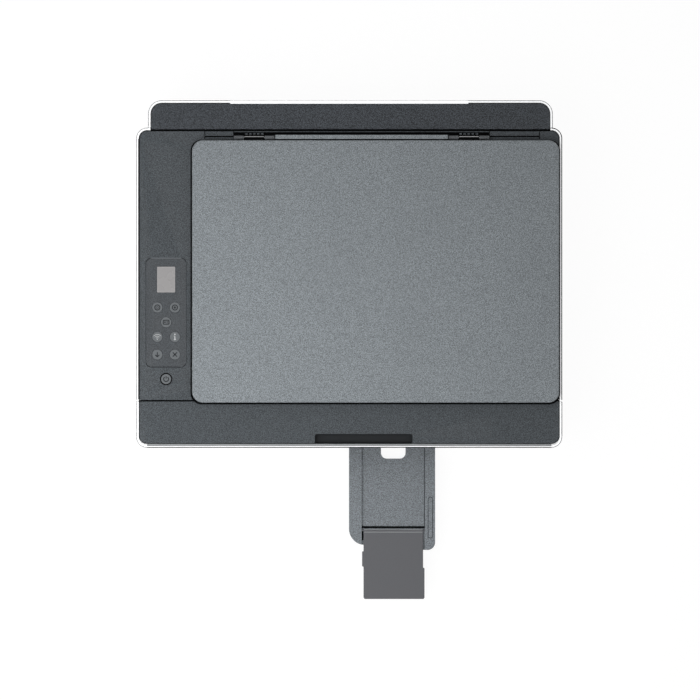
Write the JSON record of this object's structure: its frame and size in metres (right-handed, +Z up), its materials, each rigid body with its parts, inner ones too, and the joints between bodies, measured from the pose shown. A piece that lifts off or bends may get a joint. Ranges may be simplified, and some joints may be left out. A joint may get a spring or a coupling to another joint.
{
  "type": "ink tank all-in-one printer",
  "caption": "Ink tank printer with flatbed scanner lid, lifting front door, rear paper support and a pull-out output tray with folding end flap",
  "frame": {"origin": "on the table, under the middle of the printer with its tray extender out", "axes": "x to the printer's right seen from the front, y from front to rear, z up"},
  "size_m": [0.434, 0.516, 0.157],
  "materials": {
    "casing_white": "fine matt white moulding",
    "deck_grey": "dark grey finely grained moulding",
    "lid_grey": "mid grey textured moulding",
    "tray_grey": "grey textured moulding",
    "flap_grey": "grey satin moulding",
    "key_grey": "grey satin keycap",
    "overlay_dark": "dark satin overlay",
    "display_grey": "unlit display window",
    "scan_glass": "clear float glass",
    "smoky_window": "smoked clear window",
    "pad_white": "white foam backing",
    "foot_rubber": "black rubber",
    "inner_dark": "black inner moulding",
    "inner_grey": "grey inner moulding",
    "sheet_steel": "zinc plated sheet",
    "motor_steel": "plated motor can",
    "bright_steel": "ground steel rod",
    "roller_rubber": "grey roller rubber",
    "belt_rubber": "black toothed belt",
    "board_green": "circuit board",
    "tank_clear": "translucent tank",
    "cap_black": "black cap",
    "cap_cyan": "cyan cap",
    "cap_magenta": "magenta cap",
    "cap_yellow": "yellow cap"
  },
  "bodies": {
    "printer": {"base_pan": "casing_white", "rubber_feet": "foot_rubber", "casing_screws": "sheet_steel", "front_fascia": "casing_white", "left_side_cover": "casing_white", "right_side_cover": "casing_white", "rear_cover": "casing_white", "power_inlet": "inner_dark", "data_socket": "inner_dark", "paper_chute": "inner_grey", "chassis": "sheet_steel", "feed_motor": "motor_steel", "drive_belt": "belt_rubber", "carriage_belt": "belt_rubber", "carriage_rail": "sheet_steel", "carriage_motor": "motor_steel", "platen": "inner_dark", "service_station": "inner_dark", "power_supply": "inner_dark", "main_board": "board_green", "control_overlay": "overlay_dark", "display_window": "display_grey", "control_board": "board_green", "lid_hinge_pins": "bright_steel", "scanner_deck": "deck_grey", "scan_glass": "scan_glass", "scanner_base": "inner_dark", "scan_rod": "bright_steel", "tank_holder": "inner_grey", "ink_tanks": "tank_clear", "output_tray": "deck_grey"},
    "lid": {"lid_shell": "lid_grey", "lid_pad": "pad_white", "lid_hinge_arms": "deck_grey"},
    "front_door": {"door_shell": "casing_white", "door_top": "deck_grey", "ink_window": "smoky_window"},
    "paper_support": {"paper_support": "deck_grey"},
    "left_guide": {"left_paper_guide": "inner_grey"},
    "right_guide": {"right_paper_guide": "inner_grey"},
    "extender": {"tray_extender": "tray_grey"},
    "flap": {"tray_flap": "flap_grey"},
    "mono_copy_key": {"mono_copy_key": "key_grey"},
    "colour_copy_key": {"colour_copy_key": "key_grey"},
    "card_copy_key": {"card_copy_key": "key_grey"},
    "wireless_key": {"wireless_key": "key_grey"},
    "info_key": {"info_key": "key_grey"},
    "resume_key": {"resume_key": "key_grey"},
    "cancel_key": {"cancel_key": "key_grey"},
    "power_key": {"power_key": "key_grey"},
    "scan_carriage": {"scan_carriage": "inner_dark"},
    "print_carriage": {"print_carriage": "inner_dark"},
    "discharge_roller": {"discharge_roller": "roller_rubber"},
    "feed_roller": {"feed_roller": "roller_rubber"},
    "pick_roller": {"pick_roller": "roller_rubber"},
    "motor_pulley": {"motor_pulley": "bright_steel"},
    "black_cap": {"black_tank_cap": "cap_black"},
    "cyan_cap": {"cyan_tank_cap": "cap_cyan"},
    "magenta_cap": {"magenta_tank_cap": "cap_magenta"},
    "yellow_cap": {"yellow_tank_cap": "cap_yellow"}
  },
  "joints": [
    {"name": "lid_hinge", "type": "hinge", "parent": "printer", "child": "lid", "pos_m": [0.0268, 0.2196, 0.1491], "axis": [-1, 0, 0], "range_deg": [0, 85]},
    {"name": "door_hinge", "type": "hinge", "parent": "printer", "child": "front_door", "pos_m": [0, -0.06295, 0.1383], "axis": [-1, 0, 0], "range_deg": [0, 75]},
    {"name": "support_slide", "type": "slide", "parent": "printer", "child": "paper_support", "axis": [0, 0.2079, 0.9781], "range_m": [0, 0.095]},
    {"name": "left_guide_slide", "type": "slide", "parent": "printer", "child": "left_guide", "axis": [1, 0, 0], "range_m": [0, 0.054]},
    {"name": "right_guide_slide", "type": "slide", "parent": "printer", "child": "right_guide", "axis": [1, 0, 0], "range_m": [-0.054, 0]},
    {"name": "extender_slide", "type": "slide", "parent": "printer", "child": "extender", "axis": [0, -1, 0], "range_m": [-0.1, 0]},
    {"name": "flap_hinge", "type": "hinge", "parent": "extender", "child": "flap", "pos_m": [0.0463, -0.18575, 0.0335], "axis": [-1, 0, 0], "range_deg": [0, 179]},
    {"name": "mono_copy_key_press", "type": "slide", "parent": "printer", "child": "mono_copy_key", "axis": [0, 0, -1], "range_m": [0, 0.0006], "stiffness_N_per_m": 150, "springref_m": -0.0005},
    {"name": "colour_copy_key_press", "type": "slide", "parent": "printer", "child": "colour_copy_key", "axis": [0, 0, -1], "range_m": [0, 0.0006], "stiffness_N_per_m": 150, "springref_m": -0.0005},
    {"name": "card_copy_key_press", "type": "slide", "parent": "printer", "child": "card_copy_key", "axis": [0, 0, -1], "range_m": [0, 0.0006], "stiffness_N_per_m": 150, "springref_m": -0.0005},
    {"name": "wireless_key_press", "type": "slide", "parent": "printer", "child": "wireless_key", "axis": [0, 0, -1], "range_m": [0, 0.0006], "stiffness_N_per_m": 150, "springref_m": -0.0005},
    {"name": "info_key_press", "type": "slide", "parent": "printer", "child": "info_key", "axis": [0, 0, -1], "range_m": [0, 0.0006], "stiffness_N_per_m": 150, "springref_m": -0.0005},
    {"name": "resume_key_press", "type": "slide", "parent": "printer", "child": "resume_key", "axis": [0, 0, -1], "range_m": [0, 0.0006], "stiffness_N_per_m": 150, "springref_m": -0.0005},
    {"name": "cancel_key_press", "type": "slide", "parent": "printer", "child": "cancel_key", "axis": [0, 0, -1], "range_m": [0, 0.0006], "stiffness_N_per_m": 150, "springref_m": -0.0005},
    {"name": "power_key_press", "type": "slide", "parent": "printer", "child": "power_key", "axis": [0, 0, -1], "range_m": [0, 0.0012], "stiffness_N_per_m": 150, "springref_m": -0.0005},
    {"name": "scan_slide", "type": "slide", "parent": "printer", "child": "scan_carriage", "axis": [1, 0, 0], "range_m": [0, 0.2868]},
    {"name": "print_slide", "type": "slide", "parent": "printer", "child": "print_carriage", "axis": [1, 0, 0], "range_m": [0, 0.27]},
    {"name": "discharge_roller_spin", "type": "hinge", "parent": "printer", "child": "discharge_roller", "pos_m": [0, 0.00595, 0.044], "axis": [1, 0, 0], "continuous": true},
    {"name": "feed_roller_spin", "type": "hinge", "parent": "printer", "child": "feed_roller", "pos_m": [0, 0.09595, 0.044], "axis": [1, 0, 0], "continuous": true},
    {"name": "pick_roller_spin", "type": "hinge", "parent": "printer", "child": "pick_roller", "pos_m": [0, 0.21839, 0.066], "axis": [1, 0, 0], "continuous": true},
    {"name": "motor_pulley_spin", "type": "hinge", "parent": "printer", "child": "motor_pulley", "pos_m": [0, 0.15717, 0.09], "axis": [1, 0, 0], "continuous": true},
    {"name": "black_cap_hinge", "type": "hinge", "parent": "printer", "child": "black_cap", "pos_m": [0, -0.06855, 0.1118], "axis": [-1, 0, 0], "range_deg": [0, 78]},
    {"name": "cyan_cap_hinge", "type": "hinge", "parent": "printer", "child": "cyan_cap", "pos_m": [0, -0.06855, 0.1118], "axis": [-1, 0, 0], "range_deg": [0, 78]},
    {"name": "magenta_cap_hinge", "type": "hinge", "parent": "printer", "child": "magenta_cap", "pos_m": [0, -0.06855, 0.1118], "axis": [-1, 0, 0], "range_deg": [0, 78]},
    {"name": "yellow_cap_hinge", "type": "hinge", "parent": "printer", "child": "yellow_cap", "pos_m": [0, -0.06855, 0.1118], "axis": [-1, 0, 0], "range_deg": [0, 78]}
  ],
  "couplings": [
    {"joint": "right_guide_slide", "follows": "left_guide_slide", "ratio": -1},
    {"joint": "discharge_roller_spin", "follows": "feed_roller_spin", "ratio": 1},
    {"joint": "pick_roller_spin", "follows": "feed_roller_spin", "ratio": 1},
    {"joint": "motor_pulley_spin", "follows": "feed_roller_spin", "ratio": 1}
  ]
}
